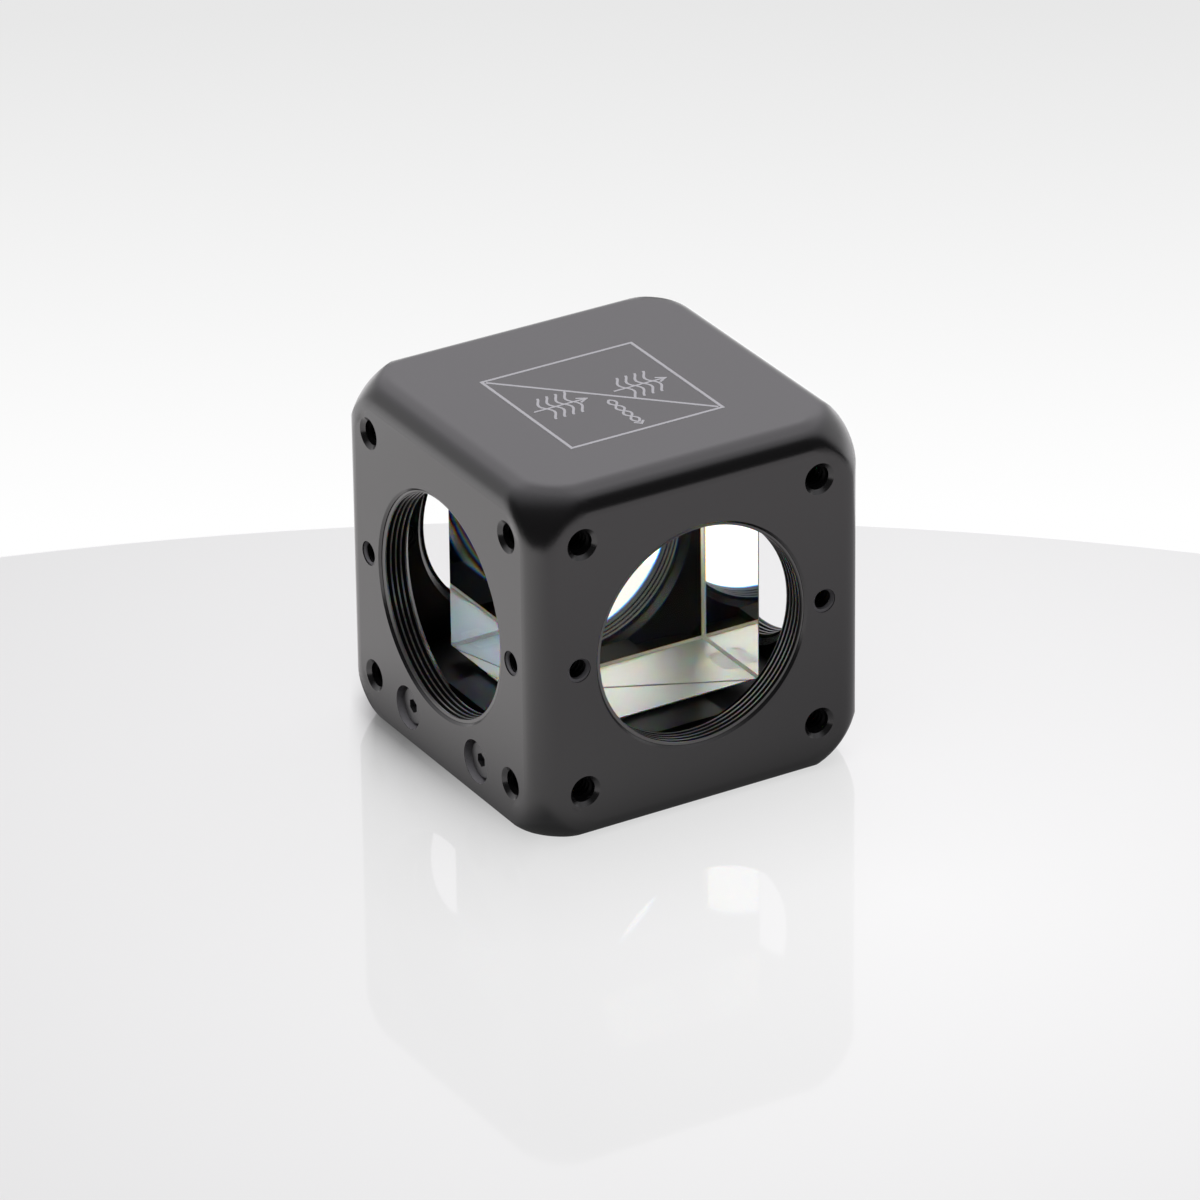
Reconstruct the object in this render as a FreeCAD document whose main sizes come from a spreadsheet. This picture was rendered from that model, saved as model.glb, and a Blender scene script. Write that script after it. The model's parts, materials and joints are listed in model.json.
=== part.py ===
import FreeCAD, Part
import math
import os
import Sketcher

# Polarizing beamsplitter cube for 30 mm cage systems.
# Millimetres, +Z up, origin at the middle of the cube's foot.
# One pair of ports lies along X and one along Y. The prisms meet on the diagonal
# from the front right upright edge to the back left one.

Vector = FreeCAD.Vector

SIZES = (
    ("cube_side", 42.0, "outer side of the housing"),
    ("edge_round", 3.0, "round of the upright and top edges"),
    ("foot_round", 2.0, "round of the bottom edges"),
    ("corner_round", 10.0, "blend radius of the eight corners"),
    ("blend_skim", 0.1, "how far the corner blend clears the edge rounds"),
    ("wall", 4.0, "side wall of the housing"),
    ("top_wall", 4.0, "roof of the housing"),
    ("pocket_corner", 3.0, "cutter radius in the pocket's upright corners"),
    ("pocket_break", 0.3, "chamfer round the pocket's mouth"),
    ("port_bore", 26.29, "major diameter of a port's thread"),
    ("port_lead", 0.3, "outer chamfer of a port"),
    ("port_back_lead", 0.7, "inner chamfer of a port"),
    ("rod_pitch", 30.0, "spacing of the cage rod holes"),
    ("rod_bore", 2.845, "tapped hole of a cage rod"),
    ("rod_mouth", 3.75, "countersink diameter of a rod hole"),
    ("cross_pitch", 31.2, "spacing of the two holes at mid height"),
    ("cross_bore", 2.845, "tapped hole at mid height"),
    ("drill_past", 2.0, "how far the side holes run past the wall"),
    ("cut_past", 1.0, "how far any other cut runs past the metal"),
    ("screw_thread", 2.5, "thread of the platform's cap screws"),
    ("screw_pitch", 15.0, "distance between the two cap screws"),
    ("screw_cover", 0.7, "platform metal above a screw's thread"),
    ("screw_length", 6.0, "length of a cap screw under its head"),
    ("head_width", 4.5, "diameter of a cap screw's head"),
    ("head_height", 1.5, "height of a cap screw's head"),
    ("head_break", 0.25, "chamfer of a cap screw's head"),
    ("head_recess", 0.7, "depth of the head below the left face"),
    ("head_gap", 0.3, "radial gap round a cap screw's head"),
    ("shank_gap", 0.15, "radial gap round the shank in the housing's wall"),
    ("thread_gap", 0.05, "radial gap of the shank in its tapped hole"),
    ("tap_past", 2.0, "tapped hole beyond the screw's tip"),
    ("socket_width", 1.5, "hexagon socket across its flats"),
    ("socket_depth", 0.8, "depth of the hexagon socket"),
    ("platform_gap", 0.05, "gap between platform and pocket wall"),
    ("platform_recess", 0.2, "platform's underside above the cube's foot"),
    ("platform_corner", 8.5, "round of the platform's corners, clear of the rod tips"),
    ("arm_width", 10.6, "width of the raised cross under the glass"),
    ("arm_step", 1.0, "height of the raised cross"),
    ("post_thread", 4.0, "tapped hole for a post under the platform"),
    ("post_depth", 5.5, "depth of the post hole"),
    ("post_mouth", 4.6, "countersink diameter of the post hole"),
    ("glass_side", 25.2, "outer side of the glass cube"),
    ("glass_chamfer", 0.3, "chamfer of the glass edges"),
    ("cement", 0.05, "coating and cement between the prisms"),
    ("glue", 0.15, "adhesive between glass and platform"),
    ("glue_reach", 1.9, "how far an adhesive bead reaches under the glass"),
    ("glue_length", 9.6, "length of an adhesive bead along the glass edge"),
    ("glue_round", 1.6, "round of a bead's inner ends"),
)

doc = FreeCAD.newDocument("BeamsplitterCube")
sheet = doc.addObject("Spreadsheet::Sheet", "Sizes")
for row, (alias, number, note) in enumerate(SIZES, start=1):
    sheet.set("A%d" % row, note)
    sheet.set("B%d" % row, str(number))
    sheet.setAlias("B%d" % row, alias)
doc.recompute()

# Levels and spans that several pieces share, as expressions of the sheet's cells
HALF = "(Sizes.cube_side / 2)"
POCKET = "(Sizes.cube_side - 2 * Sizes.wall)"
BLOCK = "(Sizes.cube_side - 2 * Sizes.wall - 2 * Sizes.platform_gap)"
GLASS_FOOT = "(%s - Sizes.glass_side / 2)" % HALF
ARM_TOP = "(%s - Sizes.glue)" % GLASS_FOOT
FLOOR = "(%s - Sizes.arm_step)" % ARM_TOP
SCREW_LEVEL = "(%s - Sizes.screw_cover - Sizes.screw_thread / 2)" % FLOOR
SEAT_DEPTH = "(Sizes.head_recess + Sizes.head_height)"
SHANK_IN_WALL = "(Sizes.wall - %s)" % SEAT_DEPTH


# Sketch helpers: coordinates and lengths are expressions of the sheet
def measure(expression):
    result = sheet.evalExpression(str(expression))
    return float(getattr(result, "Value", result))


def make_body(label):
    body = doc.addObject("PartDesign::Body", label)
    body.Label = label
    return body


def make_sketch(body, name, role, level=None):
    sketch = body.newObject("Sketcher::SketchObject", name)
    plane = [item for item in body.Origin.OriginFeatures if item.Role == role][0]
    sketch.AttachmentSupport = [(plane, "")]
    sketch.MapMode = "FlatFace"
    if level:
        sketch.setExpression("AttachmentOffset.Base.z", level)
    return sketch


def drive(sketch, kind, *items):
    """Add a dimension whose value follows the expression given last."""
    expression = items[-1]
    index = sketch.addConstraint(Sketcher.Constraint(kind, *items[:-1], measure(expression)))
    sketch.setExpression("Constraints[%d]" % index, str(expression))


def place_point(sketch, item, vertex, x, y):
    drive(sketch, "DistanceX", -1, 1, item, vertex, x)
    drive(sketch, "DistanceY", -1, 1, item, vertex, y)


def add_polygon(sketch, points):
    corners = [Vector(measure(x), measure(y), 0) for x, y in points]
    first = sketch.GeometryCount
    for start, end in zip(corners, corners[1:] + corners[:1]):
        sketch.addGeometry(Part.LineSegment(start, end))
    for side, (x, y) in enumerate(points):
        following = first + (side + 1) % len(points)
        sketch.addConstraint(Sketcher.Constraint("Coincident", first + side, 2, following, 1))
        place_point(sketch, first + side, 1, x, y)


def add_rectangle(sketch, width, height):
    half_width, half_height = measure(width) / 2, measure(height) / 2
    corners = [
        Vector(-half_width, -half_height, 0),
        Vector(half_width, -half_height, 0),
        Vector(half_width, half_height, 0),
        Vector(-half_width, half_height, 0),
    ]
    for start, end in zip(corners, corners[1:] + corners[:1]):
        sketch.addGeometry(Part.LineSegment(start, end))
    for side in range(4):
        kind = "Vertical" if side % 2 else "Horizontal"
        sketch.addConstraint(Sketcher.Constraint("Coincident", side, 2, (side + 1) % 4, 1))
        sketch.addConstraint(Sketcher.Constraint(kind, side))
    sketch.addConstraint(Sketcher.Constraint("Symmetric", 0, 1, 2, 1, -1, 1))
    drive(sketch, "DistanceX", 0, 1, 0, 2, width)
    drive(sketch, "DistanceY", 1, 1, 1, 2, height)


def add_circle(sketch, x, y, diameter):
    centre = Vector(measure(x), measure(y), 0)
    circle = sketch.addGeometry(Part.Circle(centre, Vector(0, 0, 1), measure(diameter) / 2))
    place_point(sketch, circle, 3, x, y)
    drive(sketch, "Diameter", circle, diameter)


def add_hexagon(sketch, flats):
    """A hexagon round the sketch's origin, held by a construction circle."""
    radius = measure(flats) / math.sqrt(3)
    angles = [math.radians(60 * turn) for turn in range(6)]
    corners = [Vector(radius * math.cos(a), radius * math.sin(a), 0) for a in angles]
    for start, end in zip(corners, corners[1:] + corners[:1]):
        sketch.addGeometry(Part.LineSegment(start, end))
    circle = sketch.addGeometry(Part.Circle(Vector(0, 0, 0), Vector(0, 0, 1), radius), True)
    sketch.addConstraint(Sketcher.Constraint("Coincident", circle, 3, -1, 1))
    for side in range(6):
        sketch.addConstraint(Sketcher.Constraint("Coincident", side, 2, (side + 1) % 6, 1))
        sketch.addConstraint(Sketcher.Constraint("PointOnObject", side, 1, circle))
    for side in range(1, 6):
        sketch.addConstraint(Sketcher.Constraint("Equal", 0, side))
    sketch.addConstraint(Sketcher.Constraint("PointOnObject", 0, 1, -1))
    drive(sketch, "Diameter", circle, "2 * %s / sqrt(3)" % flats)


# Feature helpers
def add_pad(body, name, sketch, length):
    pad = body.newObject("PartDesign::Pad", name)
    pad.Profile = sketch
    pad.setExpression("Length", length)
    return pad


def add_pocket(body, name, sketch, length, reverse=False):
    pocket = body.newObject("PartDesign::Pocket", name)
    pocket.Profile = sketch
    pocket.Reversed = reverse
    pocket.setExpression("Length", length)
    return pocket


def add_revolved(body, kind, name, sketch):
    """A full turn round the sketch's own vertical axis."""
    feature = body.newObject("PartDesign::" + kind, name)
    feature.Profile = sketch
    feature.ReferenceAxis = (sketch, ["V_Axis"])
    feature.Angle = 360
    return feature


def add_holes(body, name, sketch, diameter, depth, cut=None, cut_width=None, cut_depth=None, reverse=False):
    """Drilled holes at the sketch's circles, with a countersink or counterbore."""
    holes = body.newObject("PartDesign::Hole", name)
    holes.Profile = sketch
    doc.recompute()
    holes.ThreadType = "None"
    holes.DepthType = "Dimension"
    holes.DrillPoint = "Flat"
    holes.Reversed = reverse
    holes.setExpression("Diameter", diameter)
    holes.setExpression("Depth", depth)
    if cut:
        holes.HoleCutType = cut
        holes.setExpression("HoleCutDiameter", cut_width)
    if cut == "Countersink":
        holes.HoleCutCountersinkAngle = 90
    if cut == "Counterbore":
        holes.setExpression("HoleCutDepth", cut_depth)
    return holes


def add_edge_feature(body, kind, name, wanted, amount):
    """Fillet or chamfer the edges of the last feature that the test picks."""
    doc.recompute()
    base = body.Tip
    edges = [
        "Edge%d" % number
        for number, edge in enumerate(base.Shape.Edges, start=1)
        if wanted(edge)
    ]
    feature = body.newObject("PartDesign::" + kind, name)
    feature.Base = (base, edges)
    feature.setExpression("Radius" if kind == "Fillet" else "Size", amount)
    return feature


def turn_pattern(body, name, originals, angle, count):
    """Repeat features round the body's upright axis."""
    axis = [item for item in body.Origin.OriginFeatures if item.Role == "Z_Axis"][0]
    pattern = body.newObject("PartDesign::PolarPattern", name)
    pattern.Originals = originals
    pattern.Axis = (axis, [""])
    pattern.Angle = angle
    pattern.Occurrences = count
    body.Tip = pattern
    return pattern


# Edge tests, which take places closer than this as the same
CLOSE = 1e-4


def is_upright(edge):
    box = edge.BoundBox
    return box.ZLength > CLOSE and box.XLength < CLOSE and box.YLength < CLOSE


def lies_at(level):
    return lambda edge: abs(edge.BoundBox.ZMin - level) < CLOSE and edge.BoundBox.ZLength < CLOSE


def inside(half_width, test):
    """Narrow an edge test to the edges within a square round the upright axis."""
    def both(edge):
        box = edge.BoundBox
        reach = max(abs(box.XMin), abs(box.XMax), abs(box.YMin), abs(box.YMax))
        return reach < half_width + CLOSE and test(edge)
    return both


# Housing: a solid block, rounded, bored through on both level axes, hollowed from below
def make_corner_blend():
    """The block whose large rounds touch the housing only at its corners."""
    reach = (
        "(Sizes.corner_round + %s - Sizes.edge_round"
        " + (Sizes.edge_round - Sizes.corner_round) / sqrt(2) + Sizes.blend_skim)" % HALF
    )
    foot_drop = "((Sizes.edge_round - Sizes.foot_round) * (2 - sqrt(2)))"
    blend = make_body("corner_blend")
    foot = make_sketch(blend, "BlendFoot", "XY_Plane", "%s - %s - %s" % (HALF, reach, foot_drop))
    add_rectangle(foot, "2 * %s" % reach, "2 * %s" % reach)
    add_pad(blend, "BlendBlock", foot, "2 * %s + %s" % (reach, foot_drop))
    add_edge_feature(blend, "Fillet", "BlendRounds", lambda edge: True, "Sizes.corner_round")
    return blend


def round_block(body):
    top, side = measure("Sizes.cube_side"), measure("Sizes.edge_round")
    foot = make_sketch(body, "BlockFoot", "XY_Plane")
    add_rectangle(foot, "Sizes.cube_side", "Sizes.cube_side")
    add_pad(body, "Block", foot, "Sizes.cube_side")
    add_edge_feature(body, "Fillet", "UprightRounds", is_upright, "Sizes.edge_round")
    add_edge_feature(body, "Fillet", "TopRound", lies_at(top), "Sizes.edge_round")
    add_edge_feature(body, "Fillet", "FootRound", lies_at(0), "Sizes.foot_round")
    blend = make_corner_blend()
    corners = body.newObject("PartDesign::Boolean", "CornerBlend")
    corners.Type = "Common"
    corners.setObjects([blend])
    body.Tip = corners


def hollow_block(body):
    mouth = measure(POCKET) / 2
    foot = make_sketch(body, "PocketMouth", "XY_Plane")
    add_rectangle(foot, POCKET, POCKET)
    add_pocket(body, "Pocket", foot, "Sizes.cube_side - Sizes.top_wall", reverse=True)
    within = inside(mouth, is_upright)
    add_edge_feature(body, "Fillet", "PocketCorners", within, "Sizes.pocket_corner")
    rim = inside(mouth, lies_at(0))
    add_edge_feature(body, "Chamfer", "PocketBreak", rim, "Sizes.pocket_break")


def bore_ports(body):
    """One boring profile serves two opposite ports and is turned for the other two."""
    radius = "Sizes.port_bore / 2"
    inner = "(%s / 2)" % POCKET
    past = "Sizes.cut_past"
    profile = make_sketch(body, "PortProfile", "XY_Plane", HALF)
    outline = [
        ("0", "-%s - %s" % (HALF, past)),
        ("%s + Sizes.port_lead + %s" % (radius, past), "-%s - %s" % (HALF, past)),
        (radius, "-%s + Sizes.port_lead" % HALF),
        (radius, "-%s - Sizes.port_back_lead" % inner),
        ("%s + Sizes.port_back_lead" % radius, "-%s" % inner),
        ("%s + Sizes.port_back_lead" % radius, inner),
        (radius, "%s + Sizes.port_back_lead" % inner),
        (radius, "%s - Sizes.port_lead" % HALF),
        ("%s + Sizes.port_lead + %s" % (radius, past), "%s + %s" % (HALF, past)),
        ("0", "%s + %s" % (HALF, past)),
    ]
    add_polygon(profile, outline)
    ports = add_revolved(body, "Groove", "PortsAlongY", profile)
    turn_pattern(body, "PortsAlongX", [ports], 90, 2)


def drill_side_holes(body):
    depth = "Sizes.wall + Sizes.drill_past"
    rods = make_sketch(body, "RodCentres", "XZ_Plane", HALF)
    for x in ("-Sizes.rod_pitch / 2", "Sizes.rod_pitch / 2"):
        for z in ("%s - Sizes.rod_pitch / 2" % HALF, "%s + Sizes.rod_pitch / 2" % HALF):
            add_circle(rods, x, z, "Sizes.rod_bore")
    rod_holes = add_holes(
        body, "RodHoles", rods, "Sizes.rod_bore", depth, "Countersink", "Sizes.rod_mouth"
    )
    crossing = make_sketch(body, "CrossCentres", "XZ_Plane", HALF)
    for x in ("-Sizes.cross_pitch / 2", "Sizes.cross_pitch / 2"):
        add_circle(crossing, x, HALF, "Sizes.cross_bore")
    cross_holes = add_holes(body, "CrossHoles", crossing, "Sizes.cross_bore", depth)
    turn_pattern(body, "SideHoles", [rod_holes, cross_holes], 360, 4)


def cut_screw_seats(body):
    seats = make_sketch(body, "SeatCentres", "YZ_Plane", "-%s" % HALF)
    bore = "Sizes.head_width + 2 * Sizes.head_gap"
    for y in ("-Sizes.screw_pitch / 2", "Sizes.screw_pitch / 2"):
        add_circle(seats, y, SCREW_LEVEL, bore)
    shank = "Sizes.screw_thread + 2 * Sizes.shank_gap"
    add_holes(
        body, "ScrewSeats", seats, shank, "Sizes.wall + Sizes.cut_past",
        "Counterbore", bore, SEAT_DEPTH, reverse=True,
    )


def make_housing():
    body = make_body("housing")
    round_block(body)
    hollow_block(body)
    bore_ports(body)
    drill_side_holes(body)
    cut_screw_seats(body)
    return body


# Platform: the block that closes the pocket and carries the glass on a raised cross
def make_platform():
    body = make_body("platform")
    foot = make_sketch(body, "BlockFoot", "XY_Plane", "Sizes.platform_recess")
    add_rectangle(foot, BLOCK, BLOCK)
    add_pad(body, "Block", foot, "%s - Sizes.platform_recess" % FLOOR)
    add_edge_feature(body, "Fillet", "UprightCorners", is_upright, "Sizes.platform_corner")
    arm = make_sketch(body, "ArmOutline", "XY_Plane", FLOOR)
    add_rectangle(arm, BLOCK, "Sizes.arm_width")
    arms = add_pad(body, "ArmAlongX", arm, "Sizes.arm_step")
    turn_pattern(body, "ArmAlongY", [arms], 90, 2)
    post = make_sketch(body, "PostCentre", "XY_Plane", "Sizes.platform_recess")
    add_circle(post, "0", "0", "Sizes.post_thread")
    add_holes(
        body, "PostHole", post, "Sizes.post_thread", "Sizes.post_depth",
        "Countersink", "Sizes.post_mouth", reverse=True,
    )
    taps = make_sketch(body, "TapCentres", "YZ_Plane", "-%s / 2" % BLOCK)
    tap = "Sizes.screw_thread + 2 * Sizes.thread_gap"
    for y in ("-Sizes.screw_pitch / 2", "Sizes.screw_pitch / 2"):
        add_circle(taps, y, SCREW_LEVEL, tap)
    depth = "Sizes.screw_length - %s - Sizes.platform_gap + Sizes.tap_past" % SHANK_IN_WALL
    add_holes(body, "ScrewTaps", taps, tap, depth, reverse=True)
    return body


# Glass: two right-angle prisms with the coated, cemented diagonal between them
def make_prism(label, angle):
    half = "(Sizes.glass_side / 2)"
    flat = "(%s - Sizes.glass_chamfer)" % half
    gap = "(Sizes.cement / sqrt(2))"
    near = "((2 * %s - Sizes.glass_chamfer - %s) / 2)" % (half, gap)
    far = "((2 * %s - Sizes.glass_chamfer + %s) / 2)" % (half, gap)
    body = make_body(label)
    outline = make_sketch(body, "PrismOutline", "XY_Plane")
    add_polygon(outline, [
        ("-%s" % half, "-%s" % half),
        (flat, "-%s" % half),
        (near, "-%s" % far),
        ("-%s" % far, near),
        ("-%s" % half, flat),
    ])
    add_pad(body, "Prism", outline, "Sizes.glass_side")
    outer = -measure(half) + CLOSE

    def on_outer_face(edge):
        box = edge.BoundBox
        faces = int(box.XMax < outer) + int(box.YMax < outer)
        return faces == 2 or (faces == 1 and not is_upright(edge))

    add_edge_feature(body, "Chamfer", "EdgeBreak", on_outer_face, "Sizes.glass_chamfer")
    body.Placement.Rotation = FreeCAD.Rotation(Vector(0, 0, 1), angle)
    body.setExpression("Placement.Base.z", GLASS_FOOT)
    return body


def make_cement():
    """The coating with its cement, a film on the diagonal inside the glass edges."""
    body = make_body("coating_film")
    outline = make_sketch(body, "FilmOutline", "XY_Plane")
    length = "sqrt(2) * (Sizes.glass_side - Sizes.glass_chamfer)"
    add_rectangle(outline, length, "Sizes.cement")
    add_pad(body, "Film", outline, "Sizes.glass_side - 2 * Sizes.glass_chamfer")
    body.Placement.Rotation = FreeCAD.Rotation(Vector(0, 0, 1), -45)
    body.setExpression("Placement.Base.z", "%s + Sizes.glass_chamfer" % GLASS_FOOT)
    return body


def make_glue_bead(label, angle):
    """A flat bead of adhesive under the middle of one glass edge, round at its inner ends."""
    edge = "(Sizes.glass_side / 2 - Sizes.glass_chamfer)"
    inner = "(%s - Sizes.glue_reach)" % edge
    body = make_body(label)
    outline = make_sketch(body, "BeadOutline", "XY_Plane")
    add_polygon(outline, [
        (inner, "-Sizes.glue_length / 2"),
        (edge, "-Sizes.glue_length / 2"),
        (edge, "Sizes.glue_length / 2"),
        (inner, "Sizes.glue_length / 2"),
    ])
    add_pad(body, "Bead", outline, "Sizes.glue")
    ends = inside(measure(inner), is_upright)
    add_edge_feature(body, "Fillet", "BeadEnds", ends, "Sizes.glue_round")
    body.Placement.Rotation = FreeCAD.Rotation(Vector(0, 0, 1), angle)
    body.setExpression("Placement.Base.z", ARM_TOP)
    return body


# Cap screws: turned along Z with the head's seat at zero, then laid into the left wall
def make_cap_screw(label, side):
    body = make_body(label)
    shank, head = "Sizes.screw_thread / 2", "Sizes.head_width / 2"
    profile = make_sketch(body, "TurnedProfile", "XZ_Plane")
    add_polygon(profile, [
        ("0", "-Sizes.screw_length"),
        (shank, "-Sizes.screw_length"),
        (shank, "0"),
        (head, "0"),
        (head, "Sizes.head_height - Sizes.head_break"),
        ("%s - Sizes.head_break" % head, "Sizes.head_height"),
        ("0", "Sizes.head_height"),
    ])
    add_revolved(body, "Revolution", "Turning", profile)
    socket = make_sketch(body, "SocketOutline", "XY_Plane", "Sizes.head_height")
    add_hexagon(socket, "Sizes.socket_width")
    add_pocket(body, "Socket", socket, "Sizes.socket_depth")
    body.Placement.Rotation = FreeCAD.Rotation(Vector(0, 1, 0), -90)
    body.setExpression("Placement.Base.x", "%s - %s" % (SEAT_DEPTH, HALF))
    body.setExpression("Placement.Base.y", "%d * Sizes.screw_pitch / 2" % side)
    body.setExpression("Placement.Base.z", SCREW_LEVEL)
    return body


pieces = [
    make_housing(),
    make_platform(),
    make_prism("prism_left_front", 0),
    make_prism("prism_right_back", 180),
    make_cement(),
    make_glue_bead("adhesive_right", 0),
    make_glue_bead("adhesive_left", 180),
    make_cap_screw("cap_screw_back", 1),
    make_cap_screw("cap_screw_front", -1),
]
doc.recompute()

# Check every object, then write one file for each piece
for item in doc.Objects:
    if "Invalid" in item.State or "Error" in item.State:
        raise RuntimeError("%s did not compute: %s" % (item.Label, item.State))
os.makedirs("parts", exist_ok=True)
for piece in pieces:
    shape = piece.Shape
    if shape.isNull() or not shape.isValid() or not shape.Solids:
        raise RuntimeError("%s has no valid solid" % piece.Label)
    shape.exportStep("parts/%s.step" % piece.Label)
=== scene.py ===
import json
import math

import bmesh
import bpy
from mathutils import Matrix, Vector

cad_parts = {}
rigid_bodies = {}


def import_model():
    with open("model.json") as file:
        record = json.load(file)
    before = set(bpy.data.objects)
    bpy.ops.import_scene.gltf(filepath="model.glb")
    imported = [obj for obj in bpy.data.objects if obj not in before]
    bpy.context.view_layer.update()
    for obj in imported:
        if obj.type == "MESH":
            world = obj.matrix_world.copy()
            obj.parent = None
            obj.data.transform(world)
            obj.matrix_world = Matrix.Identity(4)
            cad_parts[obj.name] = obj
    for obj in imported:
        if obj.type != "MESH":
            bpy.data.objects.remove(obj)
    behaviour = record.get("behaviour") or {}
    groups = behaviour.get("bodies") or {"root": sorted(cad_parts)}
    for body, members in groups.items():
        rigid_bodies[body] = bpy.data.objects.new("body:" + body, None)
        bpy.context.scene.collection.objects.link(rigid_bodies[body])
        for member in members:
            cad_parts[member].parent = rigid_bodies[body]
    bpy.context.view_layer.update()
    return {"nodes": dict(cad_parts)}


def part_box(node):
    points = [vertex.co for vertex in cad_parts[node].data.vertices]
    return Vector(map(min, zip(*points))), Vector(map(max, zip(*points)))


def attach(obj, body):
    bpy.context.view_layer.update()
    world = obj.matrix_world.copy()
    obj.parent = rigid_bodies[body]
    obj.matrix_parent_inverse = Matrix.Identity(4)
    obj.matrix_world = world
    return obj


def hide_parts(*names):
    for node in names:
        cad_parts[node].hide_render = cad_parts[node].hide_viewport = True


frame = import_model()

# Looks of a polarizing beamsplitter cube: black anodized housing with four threaded
# ports, a coated glass cube on a platform, and a light diagram engraved on the roof.
# Metres, +Z up, origin at the middle of the cube's foot. Sizes in the comments are mm.

bl_info = {
    "name": "Beamsplitter Cube Looks",
    "version": (1, 0, 0),
    "blender": (4, 5, 0),
    "location": "3D View > Sidebar > Beamsplitter",
    "description": "Threads, glass, engraving and finishes of a beamsplitter cube",
    "category": "Object",
}

MM = 0.001
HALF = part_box("housing")[1].x
MIDDLE = (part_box("housing")[0].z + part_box("housing")[1].z) / 2
SIDES = {"front": -90, "right": 0, "back": 90, "left": 180}

# How far a mask reaches past the face it marks, so that rounding leaves no gap in it
MASK_REACH = 0.03 * MM

# How far the housing's cavity stands off the platform
CAVITY_PLAY = 0.1 * MM

# The cap screws' counterbores in the left wall
SEAT_RADIUS = 2.6 * MM
SEAT_DEPTH = 4.0 * MM

# The painted highlight at the mouth of a port's thread: how deep it reaches, and over what run it
# fades
LEAD_DEPTH = 0.3 * MM
LEAD_RUN = 0.1 * MM

# Where the painted highlight at the mouth of a small hole sets in, from the middle, and over what
# run
MOUTH_START = 20.2 * MM
MOUTH_RUN = 0.5 * MM

# Where a corner's patch begins, as the three distances from the middle added up, over
# what run the blend sets in, and how wide it is
CORNER_START = 53.6 * MM
CORNER_RUN = 0.7 * MM
CORNER_BLEND = 2.2 * MM

# A thread ridge: how far its root lies inside the wall, and half its width at the root
# and at the crest as shares of the pitch
ROOT_SINK = 0.035 * MM
RIDGE_ROOT = 0.437
RIDGE_CREST = 0.124

# The post hole's thread: start and end above the foot, pitch, and facets of one turn
POST_THREAD = (0.4 * MM, 5.3 * MM, 0.7 * MM, 28)

# Facets of a thread that meet at less than this many degrees are shaded as one face
THREAD_SMOOTH = 25

# The coating's thickness, and how much shorter and lower it is than the diagonal
COATING_THICK = 0.02 * MM
COATING_SHORT = 0.06 * MM
COATING_LOW = 0.02 * MM

# How far one engraved stroke stands above another that it crosses
CROSSING = 0.003 * MM

# The engraved waves, in mm from the roof's middle: where each group stands, half the
# length of its arrow, and the length and half width of the arrow's head
WAVE_GROUPS = {"in": (-5.75, -0.85), "out": (4.3, -0.95)}
ARROW_REACH = 3.3
HEAD_LONG = 1.0
HEAD_HALF = 0.6

# The strokes of a group: how many, how far the first stands before the middle, the step
# to the next, half a stroke's height, its swing, half turns, and parts it is drawn in
WAVE_COUNT = 4
WAVE_FIRST = 1.7
WAVE_STEP = 1.13
WAVE_REACH = 2.75
WAVE_SWING = 0.42
WAVE_TURNS = 1.45
WAVE_PARTS = 18

# The braid: place across, back and front end, swing, half turns and parts, and the half
# width of its tip and how far the tip reaches back and on from the front end
BRAID_ACROSS = -0.55
BRAID_BACK = -2.5
BRAID_FRONT = -8.9
BRAID_SWING = 0.45
BRAID_TURNS = 4
BRAID_PARTS = 48
TIP_HALF = 0.6
TIP_BACK = 0.1
TIP_ON = 0.55

# The colours that the glass bends apart: how far each lies from the middle, and its tint
SPECTRUM = (
    (-0.7, (0.5, 0.0, 0.0)), (-0.4, (0.4, 0.2, 0.0)), (0.0, (0.1, 0.4, 0.0)),
    (0.35, (0.0, 0.35, 0.15)), (0.75, (0.0, 0.05, 0.45)), (1.2, (0.0, 0.0, 0.4)),
)

# The level direction the camera looks in, and the one to its left
VIEW = Vector((0.5086, 0.8610, 0.0))
VIEW_LEFT = Vector((-0.8610, 0.5086, 0.0))

# The camera's own axes, and the point it aims at, from the cube's middle
CAMERA_RIGHT = Vector((0.858126, -0.513325, -0.010797))
CAMERA_UP = Vector((0.241693, 0.385308, 0.890574))
CAMERA_FORWARD = Vector((0.452994, 0.766834, -0.454710))
CAMERA_AIM = Vector((-1.35, -1.44, -3.77)) * MM

# The lamp overhead, in metres and watts
LAMP_WIDTH = 1.2
LAMP_POWER = 6.0
LAMP_PLACE = Vector((-0.3, -0.4, 1.2))

# The studio's soft light by how far a direction leans to its middle, which lies behind
# the cube and above it in these shares, and the backdrop's tones by height
LIGHT_BEHIND = 0.5
LIGHT_ABOVE = 0.866
SOFTBOX = (
    (0.0, (0.06, 0.06, 0.06)), (0.69, (0.06, 0.06, 0.06)), (0.80, (0.8, 0.79, 0.82)),
    (0.87, (1.0, 0.97, 1.02)), (0.92, (1.4, 1.36, 1.42)), (1.0, (1.2, 1.16, 1.22)),
)
BACKDROP = (
    (0.0, (1.0, 1.0, 1.0)), (0.278, (1.0, 1.0, 1.0)), (0.3055, (0.80, 0.80, 0.80)),
    (1.0, (0.78, 0.78, 0.78)),
)

# What the table shows, in metres: a painted pool of light, the ring where its painted mirror
# image goes dark, over what distances that image changes to the cube's front and left, the
# farthest distance from the cube that is measured, and how far its painted contact shadow reaches
POOL_X = 0.008
POOL_Y = -0.05
POOL_RADIUS = 0.14
DARK_X = 0.055
DARK_START = 0.21
DARK_RUN = 0.04
FRONT_RUN = 0.06
LEFT_RUN = 0.12
FADE_SPAN = 0.1
CONTACT = 0.022

# The round of the table's rim
TABLE_ROUND = 1.0 * MM


# Sizes and colours
def length(name, value_mm, description):
    return bpy.props.FloatProperty(
        name=name, description=description, default=value_mm * MM,
        subtype="DISTANCE", unit="LENGTH", precision=6,
    )


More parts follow.
